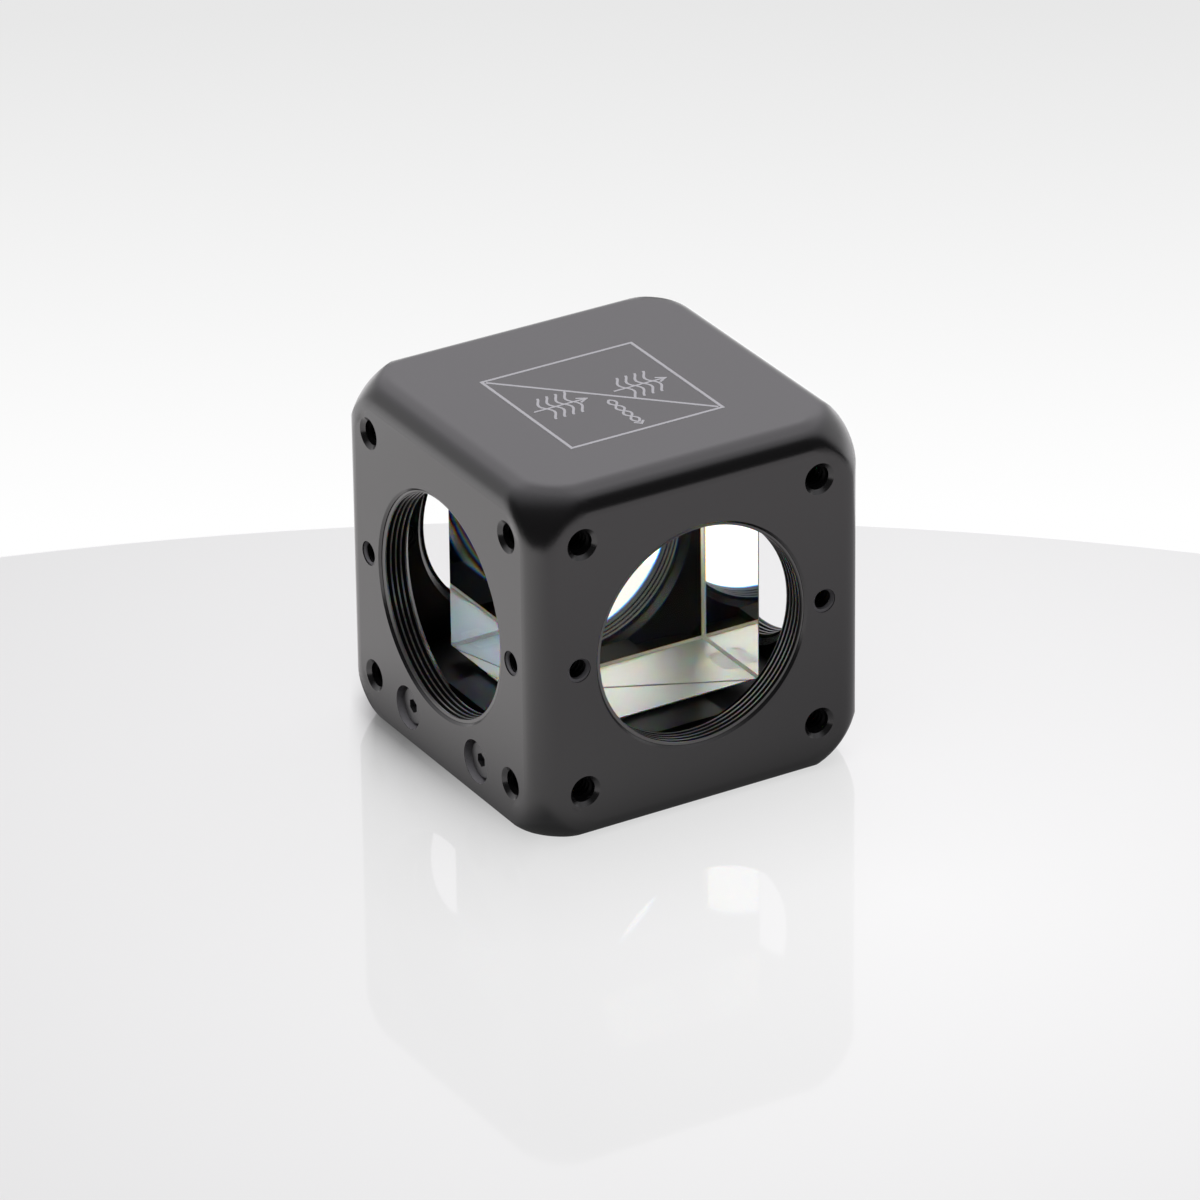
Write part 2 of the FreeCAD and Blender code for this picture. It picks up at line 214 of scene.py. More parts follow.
def colour(name, value, description):
    return bpy.props.FloatVectorProperty(
        name=name, description=description, default=value,
        subtype="COLOR", size=3, min=0.0, max=4.0,
    )


def amount(name, value, description):
    return bpy.props.FloatProperty(name=name, description=description, default=value)


def count(name, value, description):
    return bpy.props.IntProperty(name=name, description=description, default=value, min=1)


class ThreadSizes(bpy.types.PropertyGroup):
    pitch: length("Pitch", 0.635, "Distance from one thread ridge to the next")
    port_wall: length("Port wall", 13.145, "Radius of a port's wall between the ridges")
    port_crest: length("Port crest", 12.80, "Radius of a port's ridge crests")
    port_outer: length("Port outer end", 20.7, "Where a port's thread starts, from the middle")
    port_inner: length("Port inner end", 17.7, "Where a port's thread ends, from the middle")
    port_steps: count("Port steps", 96, "Facets of one turn of a port's thread")
    hole_wall: length("Hole wall", 1.4225, "Radius of a small tapped hole")
    hole_crest: length("Hole crest", 1.14, "Radius of a small hole's ridge crests")
    hole_outer: length("Hole outer end", 20.0, "Where a rod hole's thread starts, from the middle")
    cross_outer: length(
        "Middle hole end", 20.85, "Where a mid-height hole's thread starts, from the middle"
    )
    hole_inner: length("Hole inner end", 16.6, "Where a small hole's thread ends, from the middle")
    hole_steps: count("Hole steps", 20, "Facets of one turn of a small thread")
    rod_pitch: length("Rod hole spacing", 30.0, "Distance between the cage rod holes")
    cross_pitch: length("Middle hole spacing", 31.2, "Distance between the holes at mid height")
    post_wall: length("Post hole wall", 2.0, "Radius of the post hole under the platform")
    post_crest: length("Post hole crest", 1.66, "Radius of the post hole's ridge crests")


class DiagramSizes(bpy.types.PropertyGroup):
    left: length("Left", -10.1, "Left side of the diagram's square")
    right: length("Right", 9.05, "Right side of the diagram's square")
    front: length("Front", -10.65, "Front side of the diagram's square")
    back: length("Back", 8.75, "Back side of the diagram's square")
    line: length("Line", 0.37, "Width of the square's lines")
    stroke: length("Stroke", 0.29, "Width of the wave strokes")
    level: length("Level", 0.012, "How far the engraving's burr stands above the roof")
    depth: length("Depth", 0.02, "How deep the engraving reaches into the roof")


class Finishes(bpy.types.PropertyGroup):
    anodize: colour("Anodize", (0.0062, 0.0058, 0.0064), "Black anodized aluminium")
    anodize_gloss: amount("Anodize roughness", 0.22, "Roughness of the anodized faces")
    anodize_index: amount("Anodize index", 1.70, "Refractive index of the anodized skin")
    # A pale grey: painted light in the counterbores, and a painted highlight at the small holes'
    # mouths
    cut: colour("Counterbores", (0.24, 0.235, 0.25), "Turned walls of the screws' counterbores")
    # A paler tone that paints highlights on the port threads' crests
    crest: colour("Thread crests", (0.06, 0.058, 0.056), "Rubbed crests of the port threads")
    # The duller skin of the insides, threads and holes goes with their painted shade
    inside_index: amount("Inside index", 1.17, "Index of the duller skin inside the housing")
    engraving: colour("Engraving", (0.42, 0.42, 0.44), "Bare metal of the engraved lines")
    screw: colour("Screws", (0.026, 0.026, 0.028), "Black oxide of the cap screws")
    adhesive: colour("Adhesive", (0.78, 0.77, 0.75), "Cured adhesive beads")
    glass: colour("Glass", (0.985, 0.985, 0.975), "Colour of the dense flint glass")
    index: amount("Glass index", 1.717, "Refractive index of the glass")
    spread: amount("Dispersion", 0.011, "How far apart the glass bends red and blue light")
    bloomed: amount("Bloom", 0.3, "Reflection that the sides' antireflection coating takes away")
    ground: amount("Ground faces", 0.5, "Roughness of the ground faces and chamfers of the glass")
    # A cream-green tint painted on the back prism's foot, for the light that the coating passes
    behind: colour("Behind the coating", (0.93, 0.97, 0.70), "Ground foot of the prism behind")
    wetted: colour("Wetted foot", (0.68, 0.65, 0.70), "Ground foot where the adhesive wets it")
    seam: length("Seam", 0.35, "Half width of the dark seam between the prisms' feet")
    passed: colour("Passed light", (0.70, 0.71, 0.58), "Light the coating lets through aslant")
    straight: colour("Passed squarely", (0.50, 0.62, 0.68), "Light it lets through more squarely")
    turned: colour("Turned light", (0.35, 0.33, 0.38), "Light that the coating reflects")


class StageSizes(bpy.types.PropertyGroup):
    table_radius: length("Table radius", 272.0, "Radius of the round table")
    table_back: length("Table edge", 53.4, "Table edge beyond the cube, seen from the camera")
    table_aside: length("Table aside", 5.7, "How far the table's middle lies to the camera's left")
    table_thick: length("Table thickness", 12.0, "Thickness of the table's top")
    distance: length("Camera distance", 926.5, "Camera to the middle of the cube")
    lens: amount("Lens", 251.3, "Focal length for a 36 mm sensor")


GROUPS = {
    "cube_threads": ThreadSizes,
    "cube_diagram": DiagramSizes,
    "cube_finishes": Finishes,
    "cube_stage": StageSizes,
}


# Colours and distances
def opaque(shade):
    return (*shade, 1.0)


def toned(shade, share):
    """A colour made darker or paler."""
    return opaque(c * share for c in shade)


def grey(level):
    return opaque((level, level, level))


def hypotenuse(first, second):
    return (first * first + second * second) ** 0.5


def metres(points):
    """Flat points given in mm."""
    return [(x * MM, y * MM) for x, y in points]


# Shader maths: an expression on values adds the Math nodes for it
class Value:
    def __init__(self, shader, socket):
        self.shader, self.socket = shader, socket

    def math(self, operation, other=None, swap=False):
        pair = [self] if other is None else [other, self] if swap else [self, other]
        node = self.shader.node("ShaderNodeMath", {"operation": operation}, dict(enumerate(pair)))
        return Value(self.shader, node.outputs[0])

    def __add__(self, other):
        return self.math("ADD", other)

    def __sub__(self, other):
        return self.math("SUBTRACT", other)

    def __rsub__(self, other):
        return self.math("SUBTRACT", other, swap=True)

    def __mul__(self, other):
        return self.math("MULTIPLY", other)

    def __truediv__(self, other):
        return self.math("DIVIDE", other)

    def __lt__(self, other):
        return self.math("LESS_THAN", other)

    def __gt__(self, other):
        return self.math("GREATER_THAN", other)

    def __abs__(self):
        return self.math("ABSOLUTE")

    def __pow__(self, other):
        return self.math("POWER", other)

    __radd__, __rmul__ = __add__, __mul__

    def clamped(self):
        node = self.shader.node("ShaderNodeClamp", {}, {0: self})
        return Value(self.shader, node.outputs[0])


class Shader:
    """A material's or the world's node tree, cleared and filled node by node."""

    def __init__(self, owner):
        owner.use_nodes = True
        self.tree = owner.node_tree
        self.tree.nodes.clear()

    def node(self, kind, settings=None, sockets=None):
        node = self.tree.nodes.new(kind)
        for name, value in (settings or {}).items():
            if name == "stops":
                self.set_stops(node.color_ramp, value)
            else:
                setattr(node, name, value)
        for key, value in (sockets or {}).items():
            source = value.socket if isinstance(value, Value) else value
            if isinstance(source, bpy.types.NodeSocket):
                self.tree.links.new(source, node.inputs[key])
            else:
                node.inputs[key].default_value = value
        return node

    def set_stops(self, ramp, stops):
        while len(ramp.elements) < len(stops):
            ramp.elements.new(1.0)
        for element, (place, shade) in zip(ramp.elements, stops):
            element.position = place
            element.color = (*shade, 1.0)

    def value(self, kind, settings=None, sockets=None, output=0):
        return Value(self, self.node(kind, settings, sockets).outputs[output])

    def object_point(self):
        return self.node("ShaderNodeTexCoord").outputs["Object"]

    def parts(self, vector):
        node = self.node("ShaderNodeSeparateXYZ", {}, {0: vector})
        return [Value(self, output) for output in node.outputs]

    def reach(self, point):
        """How far out a point lies towards the side it is nearest to."""
        x, y, _ = self.parts(point)
        return self.value("ShaderNodeMath", {"operation": "MAXIMUM"}, {0: abs(x), 1: abs(y)})

    def noise(self, point, scale, detail, roughness=0.5):
        return self.value(
            "ShaderNodeTexNoise", {},
            {"Vector": point, "Scale": scale, "Detail": detail, "Roughness": roughness},
        )

    def mix_colour(self, factor, first, second, blend="MIX"):
        node = self.node(
            "ShaderNodeMix", {"data_type": "RGBA", "blend_type": blend},
            {0: factor, 6: first, 7: second},
        )
        return node.outputs[2]

    def mottled(self, spots, shade, dark, pale):
        """A colour that runs between two tones of itself."""
        return self.mix_colour(spots, toned(shade, dark), toned(shade, pale))

    def bump(self, height, distance, strength, normal=None):
        sockets = {"Height": height, "Distance": distance, "Strength": strength}
        if normal is not None:
            sockets["Normal"] = normal
        return self.node("ShaderNodeBump", {}, sockets).outputs[0]

    def ray(self, *kinds):
        """One where the ray is any of the given kinds."""
        path = self.node("ShaderNodeLightPath")
        total = Value(self, path.outputs[kinds[0]])
        for kind in kinds[1:]:
            total = total + Value(self, path.outputs[kind])
        return total.clamped()

    def principled(self, sockets):
        return self.node("ShaderNodeBsdfPrincipled", {}, sockets).outputs[0]

    def clear(self, shade):
        return self.node("ShaderNodeBsdfTransparent", {}, {"Color": shade}).outputs[0]

    def mirror(self, shade):
        sockets = {"Color": shade, "Roughness": 0.0}
        return self.node("ShaderNodeBsdfGlossy", {}, sockets).outputs[0]

    def refraction(self, shade, index):
        sockets = {"Color": shade, "Roughness": 0.0, "IOR": index}
        return self.node("ShaderNodeBsdfRefraction", {}, sockets).outputs[0]

    def added(self, first, second):
        return self.node("ShaderNodeAddShader", {}, {0: first, 1: second}).outputs[0]

    def mixed(self, factor, first, second):
        return self.node("ShaderNodeMixShader", {}, {0: factor, 1: first, 2: second}).outputs[0]

    def finish(self, surface, kind="ShaderNodeOutputMaterial"):
        self.node(kind, {}, {"Surface": surface})


# Finishes of the object
def new_material(name):
    material = bpy.data.materials.new(name)
    return material, Shader(material)


def anodized_metal():
    """Satin black anodize: fine blasted grain, faint clouding, softly blended corners."""
    look = bpy.context.scene.cube_finishes
    material, shader = new_material("anodized_black")
    point = shader.object_point()
    clouds = shader.noise(point, 90.0, 3.0)
    grain = shader.noise(point, 9000.0, 2.0, 0.6)
    rough = (look.anodize_gloss - 0.03) + clouds * 0.04 + grain * 0.03
    outside = shader.principled({
        "Base Color": shader.mottled(clouds, look.anodize, 0.8, 1.25),
        "Roughness": rough,
        "IOR": look.anodize_index,
        "Normal": shader.bump(grain, 0.002 * MM, 0.5, blended_corners(shader, point)),
    })
    # A darker, duller copy of the anodize: painted shade inside the cavity, on the platform and in
    # the ports
    inside = shader.principled({
        "Base Color": toned(look.anodize, 0.5),
        "Roughness": rough + 0.15,
        "IOR": look.inside_index,
        "Normal": shader.bump(grain, 0.003 * MM, 0.6),
    })
    x, y, z, radius = port_places(shader, point)
    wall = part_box("platform")[1].x + CAVITY_PLAY
    cavity = (abs(x) < wall) * (abs(y) < wall) * (z < HALF + wall)
    ports = radius < bpy.context.scene.cube_threads.port_wall + MASK_REACH
    painted_shade_inside = (cavity + ports).clamped()
    # Pale counterbore walls: painted light that lifts the shade in the counterbores
    cut = shader.principled({
        "Base Color": opaque(look.cut),
        "Roughness": rough + 0.05,
        "IOR": look.anodize_index,
        "Normal": shader.bump(grain, 0.004 * MM, 0.6),
    })
    bored = (x > MASK_REACH - HALF) * (x < SEAT_DEPTH - HALF)
    seats = 0.0
    for name in ("cap_screw_back", "cap_screw_front"):
        low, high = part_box(name)
        aside, above = y - (low.y + high.y) / 2, z - (low.z + high.z) / 2
        seats = (aside * aside + above * above < SEAT_RADIUS ** 2) + seats
    outside = shader.mixed(bored * seats, outside, cut)
    shader.finish(shader.mixed(painted_shade_inside, outside, inside))
    return material


def port_places(shader, point):
    """A point's three places and its distance from the axis of the nearest ports."""
    x, y, z = shader.parts(point)
    level = z - MIDDLE
    aside = shader.value("ShaderNodeMath", {"operation": "MINIMUM"}, {0: abs(x), 1: abs(y)})
    return x, y, z, hypotenuse(aside, level)


def blended_corners(shader, point):
    """The surface's own normal, run softly into the corner patches near the eight corners."""
    x, y, z = shader.parts(point)
    reach = abs(x) + abs(y) + abs(z - MIDDLE)
    near = ((reach - CORNER_START) / CORNER_RUN).clamped()
    own = shader.node("ShaderNodeNewGeometry").outputs["Normal"]
    soft = shader.node("ShaderNodeBevel", {"samples": 8}, {"Radius": CORNER_BLEND}).outputs[0]
    return shader.node(
        "ShaderNodeMix", {"data_type": "VECTOR", "factor_mode": "UNIFORM"},
        {0: near, 4: own, 5: soft},
    ).outputs[1]


def thread_metal():
    """The same anodize where a cutter has left it smoother, darker on the flanks as painted shade,
    with a painted highlight along the crests and at the mouth.
    """
    look, sizes = bpy.context.scene.cube_finishes, bpy.context.scene.cube_threads
    material, shader = new_material("anodized_thread")
    point = shader.object_point()
    grain = shader.noise(point, 6000.0, 2.0)
    radius = port_places(shader, point)[3]
    # Darker flanks: painted shade in the port
    flank = shader.principled({
        "Base Color": toned(look.anodize, 0.6),
        "Roughness": grain * 0.1 + 0.25,
        "IOR": look.inside_index,
        "Normal": shader.bump(grain, 0.003 * MM, 0.4),
    })
    crest = shader.principled({
        "Base Color": opaque(look.crest),
        "Roughness": grain * 0.02 + 0.28,
        "IOR": 2.0,
    })
    # Painted highlight on the crests and at the port's mouth
    painted_mouth = (shader.reach(point) - (sizes.port_outer - LEAD_DEPTH)) / LEAD_RUN
    painted_highlight = (painted_mouth.clamped() + (radius < sizes.port_crest + MASK_REACH)).clamped()
    shader.finish(shader.mixed(painted_highlight, flank, crest))
    return material


def tapped_metal():
    """Dull black anodize, darker deep in the small tapped holes as painted shade, paler where a
    thread starts as a painted highlight.
    """
    look = bpy.context.scene.cube_finishes
    material, shader = new_material("anodized_tapped")
    point = shader.object_point()
    grain = shader.noise(point, 6000.0, 2.0)
    # Painted shade deep in the hole, a painted highlight at its mouth
    painted_mouth = ((shader.reach(point) - MOUTH_START) / MOUTH_RUN).clamped()
    surface = shader.principled({
        "Base Color": shader.mix_colour(painted_mouth, toned(look.anodize, 0.4), opaque(look.cut)),
        "Roughness": grain * 0.1 + 0.35,
        "IOR": look.inside_index,
        "Normal": shader.bump(grain, 0.003 * MM, 0.4),
    })
    shader.finish(surface)
    return material


def black_oxide():
    """Black oxide on steel, lightly mottled."""
    look = bpy.context.scene.cube_finishes
    material, shader = new_material("black_oxide")
    grain = shader.noise(shader.object_point(), 5000.0, 3.0)
    surface = shader.principled({
        "Base Color": shader.mottled(grain, look.screw, 0.7, 1.6),
        "Roughness": grain * 0.15 + 0.27,
        "IOR": 1.9,
        "Normal": shader.bump(grain, 0.004 * MM, 0.5),
    })
    shader.finish(surface)
    return material


def engraved_metal():
    """Bare metal that a laser has roughened into fine pits."""
    look = bpy.context.scene.cube_finishes
    material, shader = new_material("engraved_lines")
    pits = shader.noise(shader.object_point(), 7000.0, 3.0, 0.7)
    surface = shader.principled({
        "Base Color": shader.mottled(pits, look.engraving, 0.75, 1.2),
        "Roughness": pits * 0.2 + 0.5,
        "Normal": shader.bump(pits, 0.004 * MM, 0.6),
    })
    shader.finish(surface)
    return material


def prism_glass():
    """Flint glass: polished, bloomed sides, ground ends and chamfers, a cemented diagonal.

    Light that enters is split into its colours, and goes straight on at the diagonal. The
    sloping chamfers and the seam between the prisms' feet are dull and let no light in,
    because the glass above would mirror it back as a bright line.
    """
    look = bpy.context.scene.cube_finishes
    material, shader = new_material("flint_glass")
    coordinates = shader.node("ShaderNodeTexCoord")
    x, y, z = shader.parts(coordinates.outputs["Object"])
    across, along, upright = shader.parts(coordinates.outputs["Normal"])
    # The sides face squarely along an axis, and the diagonal midway between two
    diagonal = (abs(x + y) < 0.1 * MM) * (abs(across + along) > 1.4)
    polished = ((abs(across) > 0.99) + (abs(along) > 0.99) + diagonal).clamped()
    ground = 1.0 - polished
    # The adhesive wets an oval of each foot, from the glass's edge inwards
    edge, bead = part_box("prism_right_back")[1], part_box("adhesive_right")[0]
    under = (abs(x) - edge.x) / (edge.x - bead.x)
    beside = y / bead.y
    wetted = (under * under + beside * beside < 1.0) * (z < MIDDLE)
    behind = x + y > 0.0
    seam = abs(x + y) < look.seam
    # The back prism's foot is painted cream-green, for light that has passed the coating
    tone = shader.mix_colour(behind, opaque(look.glass), opaque(look.behind))
    tone = shader.mix_colour(wetted, tone, opaque(look.wetted))
    frosted = shader.principled({
        "Base Color": tone,
        "Roughness": look.ground - wetted * 0.2,
        "IOR": look.index,
        "Transmission Weight": 0.8,
    })
    chamfer = (abs(upright) > 0.3) * (abs(upright) < 0.95)
    dull = shader.principled({
        "Base Color": shader.mix_colour(seam, opaque((0.85, 0.84, 0.8)), grey(0.12)),
        "Roughness": 0.6,
    })
    frosted = shader.mixed((chamfer + seam).clamped(), frosted, dull)
    bent = None
    for place, tint in SPECTRUM:
        ray = shader.refraction(opaque(tint), look.index + place * look.spread)
        bent = ray if bent is None else shader.added(bent, ray)
    straight = shader.refraction(opaque(look.glass), look.index)
    leaving = Value(shader, shader.node("ShaderNodeNewGeometry").outputs["Backfacing"])
    through = shader.mixed(leaving, bent, straight)
    mirror = shader.mirror(grey(1.0))
    share = shader.value("ShaderNodeFresnel", {}, {"IOR": look.index})
    share = ((share - look.bloomed) / (1.0 - look.bloomed)).clamped() + 0.004
    clear = shader.mixed(share, through, mirror)
    body = shader.mixed(ground, clear, frosted)
    shader.finish(shader.mixed(diagonal, body, shader.clear(grey(1.0))))
    return material


def splitting_coating():
    """Thin-film stack: part of the light goes straight on, part is turned by a right angle."""
    look = bpy.context.scene.cube_finishes
    material, shader = new_material("splitting_coating")
    facing = shader.value("ShaderNodeLayerWeight", {}, {"Blend": 0.5}, output=1)
    squarely, aslant = shader.clear(opaque(look.straight)), shader.clear(opaque(look.passed))
    passed = shader.mixed(((facing - 0.08) / 0.08).clamped(), squarely, aslant)
    both = shader.added(passed, shader.mirror(opaque(look.turned)))
    # Only the layer's back face acts, so that light isn't parted twice
    x, y, _ = shader.parts(shader.object_point())
    shader.finish(shader.mixed(x + y > 0.0, shader.clear(grey(1.0)), both))
    return material


def cured_adhesive():
    """Milky cured adhesive with a rippled skin."""
    look = bpy.context.scene.cube_finishes
    material, shader = new_material("cured_adhesive")
    ripple = shader.noise(shader.object_point(), 900.0, 3.0)
    surface = shader.principled({
        "Base Color": shader.mottled(ripple, look.adhesive, 0.85, 1.05),
        "Roughness": ripple * 0.15 + 0.15,
        "IOR": 1.5,
        "Subsurface Weight": 0.2,
        "Subsurface Scale": 0.5 * MM,
        "Normal": shader.bump(ripple, 0.02 * MM, 0.6),
    })
    shader.finish(surface)
    return material


# Mesh helpers
def new_piece(name, mesh, material, smooth_angle=None):
    """Turn a bmesh into a piece of the object that rides on the one body."""
    bmesh.ops.remove_doubles(mesh, verts=mesh.verts, dist=1e-7)
    bmesh.ops.recalc_face_normals(mesh, faces=mesh.faces)
    if smooth_angle is not None:
        limit = math.radians(smooth_angle)
        for face in mesh.faces:
            face.smooth = True
        for edge in mesh.edges:
            edge.smooth = len(edge.link_faces) == 2 and edge.calc_face_angle(0.0) < limit
    data = bpy.data.meshes.new(name)
    mesh.to_mesh(data)
    mesh.free()
    piece = bpy.data.objects.new(name, data)
    bpy.context.scene.collection.objects.link(piece)
    data.materials.append(material)
    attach(piece, "root")
    return piece


def dress(material, *names):
    """Give pieces that come from the solids their finish."""
    for name in names:
        frame["nodes"][name].material_slots[0].material = material


def side_matrix(angle):
    """Carries the +X side of the cube to another side, about its upright axis."""
    return Matrix.Rotation(math.radians(angle), 4, "Z")


def add_ridge(mesh, centre, axis, wall, crest, inner, outer, pitch, steps):
    """A helical thread ridge inside a hole along an axis, cut flat at both ends.

    Inner and outer are distances along the axis from the centre. The ridge's root lies
    a little inside the wall, so that no slit shows between them.
    """
    ridge = bmesh.new()
    root = wall + ROOT_SINK
    base, top = pitch * RIDGE_ROOT, pitch * RIDGE_CREST
    shape = [(root, -base), (crest, -top), (crest, top), (root, base)]
    start = inner - pitch
    corners = [ridge.verts.new((start + along, radius, 0)) for radius, along in shape]
    profile = ridge.faces.new(corners)
    turns = math.ceil((outer - inner) / pitch) + 2
    bmesh.ops.spin(
        ridge, geom=[profile], cent=(0, 0, 0), axis=(1, 0, 0),
        dvec=(pitch / steps, 0, 0), angle=2 * math.pi * turns, steps=turns * steps,
    )
    for place, normal in ((inner, (-1, 0, 0)), (outer, (1, 0, 0))):
        bmesh.ops.bisect_plane(
            ridge, geom=ridge.verts[:] + ridge.edges[:] + ridge.faces[:], dist=1e-8,
            plane_co=(place, 0, 0), plane_no=normal, clear_outer=True,
        )
        rim = [edge for edge in ridge.edges if edge.is_boundary]
        bmesh.ops.edgenet_fill(ridge, edges=rim)
    turn = Vector((1, 0, 0)).rotation_difference(Vector(axis)).to_matrix().to_4x4()
    bmesh.ops.transform(ridge, matrix=Matrix.Translation(centre) @ turn, verts=ridge.verts)
    part = bpy.data.meshes.new("ridge")
    ridge.to_mesh(part)
    ridge.free()
    mesh.from_mesh(part)
    bpy.data.meshes.remove(part)


def add_strip(mesh, points, width, foot, top):
    """An engraved stroke through the points: mitred bends, square ends, a closed body."""
    path = [Vector((x, y, foot)) for x, y in points]
    rims = []
    for place, point in enumerate(path):
        ahead = path[min(place + 1, len(path) - 1)] - path[max(place - 1, 0)]
        step = path[max(place, 1)] - path[max(place, 1) - 1]
        side = Vector((-ahead.y, ahead.x, 0)).normalized()
        square = Vector((-step.y, step.x, 0)).normalized()
        side *= width / 2 / max(side.dot(square), 0.3)
        rims.append((point + side, point - side))
    ends = [mesh.verts.new(corner) for corner in rims[0]]
    edge = mesh.edges.new(ends)
    faces = []
    for rim in rims[1:]:
        grown = bmesh.ops.extrude_edge_only(mesh, edges=[edge])["geom"]
        faces += [item for item in grown if isinstance(item, bmesh.types.BMFace)]
        added = [item for item in grown if isinstance(item, bmesh.types.BMVert)]
        added.sort(key=lambda vert: (vert.co - ends[0].co).length)
        for vert, place in zip(added, rim):
            vert.co = place
        ends, edge = added, mesh.edges.get(added)
    raise_faces(mesh, faces, top - foot)


def raise_faces(mesh, faces, height):
    """Give flat faces a body by lifting a copy of them."""
    lifted = bmesh.ops.extrude_face_region(mesh, geom=faces, use_keep_orig=True)["geom"]
    raised = [item for item in lifted if isinstance(item, bmesh.types.BMVert)]
    bmesh.ops.translate(mesh, vec=(0, 0, height), verts=raised)


# Pieces
class CubeOperator:
    """Shared by every step: what it makes can be undone, and a failure raises."""
    bl_options = {"REGISTER", "UNDO"}


class CUBE_OT_metal(CubeOperator, bpy.types.Operator):
    """Give the housing and the platform their satin black anodize"""
    bl_idname = "beamsplitter.metal"
    bl_label = "Anodized Metal"

    def execute(self, context):
        dress(anodized_metal(), "housing", "platform")
        return {"FINISHED"}


class CUBE_OT_port_threads(CubeOperator, bpy.types.Operator):
    """Cut the fine thread ridges of the four ports"""
    bl_idname = "beamsplitter.port_threads"
    bl_label = "Port Threads"

    def execute(self, context):
        sizes = context.scene.cube_threads
        metal = thread_metal()
        for side, angle in SIDES.items():
            mesh = bmesh.new()
            axis = side_matrix(angle) @ Vector((1, 0, 0))
            add_ridge(
                mesh, Vector((0, 0, MIDDLE)), axis, sizes.port_wall, sizes.port_crest,
                sizes.port_inner, sizes.port_outer, sizes.pitch, sizes.port_steps,
            )
            new_piece("thread_port_" + side, mesh, metal, THREAD_SMOOTH)
        return {"FINISHED"}


class CUBE_OT_hole_threads(CubeOperator, bpy.types.Operator):
    """Cut the small threads of the rod holes, the middle holes and the post hole"""
    bl_idname = "beamsplitter.hole_threads"
    bl_label = "Hole Threads"

    def execute(self, context):
        sizes = context.scene.cube_threads
        metal = tapped_metal()
        rod, cross = sizes.rod_pitch / 2, sizes.cross_pitch / 2
        places = [(y, z, sizes.hole_outer) for y in (-rod, rod) for z in (-rod, rod)]
        places += [(y, 0, sizes.cross_outer) for y in (-cross, cross)]
        for side, angle in SIDES.items():
            mesh = bmesh.new()
            turn = side_matrix(angle)
            for y, z, outer in places:
                add_ridge(
                    mesh, turn @ Vector((0, y, MIDDLE + z)), turn @ Vector((1, 0, 0)),
                    sizes.hole_wall, sizes.hole_crest, sizes.hole_inner, outer,
                    sizes.pitch, sizes.hole_steps,
                )
            new_piece("threads_small_" + side, mesh, metal, THREAD_SMOOTH)
        mesh = bmesh.new()
        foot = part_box("platform")[0].z
        add_ridge(
            mesh, Vector((0, 0, foot)), Vector((0, 0, 1)), sizes.post_wall, sizes.post_crest,
            *POST_THREAD,
        )
        new_piece("thread_post", mesh, metal, THREAD_SMOOTH)
        return {"FINISHED"}


class CUBE_OT_glass(CubeOperator, bpy.types.Operator):
    """Polish the two prisms and lay the splitting coating on their diagonal"""
    bl_idname = "beamsplitter.glass"
    bl_label = "Glass and Coating"

    def execute(self, context):
        dress(prism_glass(), "prism_left_front", "prism_right_back")
        low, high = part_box("coating_film")
        mesh = bmesh.new()
        bmesh.ops.create_cube(mesh, size=1.0)
        long = (high.x - low.x) * math.sqrt(2) - COATING_SHORT
        low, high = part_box("prism_left_front")
        size = Matrix.Diagonal((long, COATING_THICK, high.z - low.z - COATING_LOW, 1))
        place = Matrix.Translation((0, 0, (low.z + high.z) / 2)) @ side_matrix(-45)
        bmesh.ops.transform(mesh, matrix=place @ size, verts=mesh.verts)
        coating = new_piece("coating", mesh, splitting_coating())
        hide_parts("coating_film")
        return {"FINISHED"}


class CUBE_OT_adhesive(CubeOperator, bpy.types.Operator):
    """Give the adhesive beads their cured look"""
    bl_idname = "beamsplitter.adhesive"
    bl_label = "Adhesive"

    def execute(self, context):
        dress(cured_adhesive(), "adhesive_right", "adhesive_left")
        return {"FINISHED"}


class CUBE_OT_screws(CubeOperator, bpy.types.Operator):
    """Give the two cap screws their black oxide"""
    bl_idname = "beamsplitter.screws"
    bl_label = "Cap Screws"

    def execute(self, context):
        dress(black_oxide(), "cap_screw_back", "cap_screw_front")
        return {"FINISHED"}


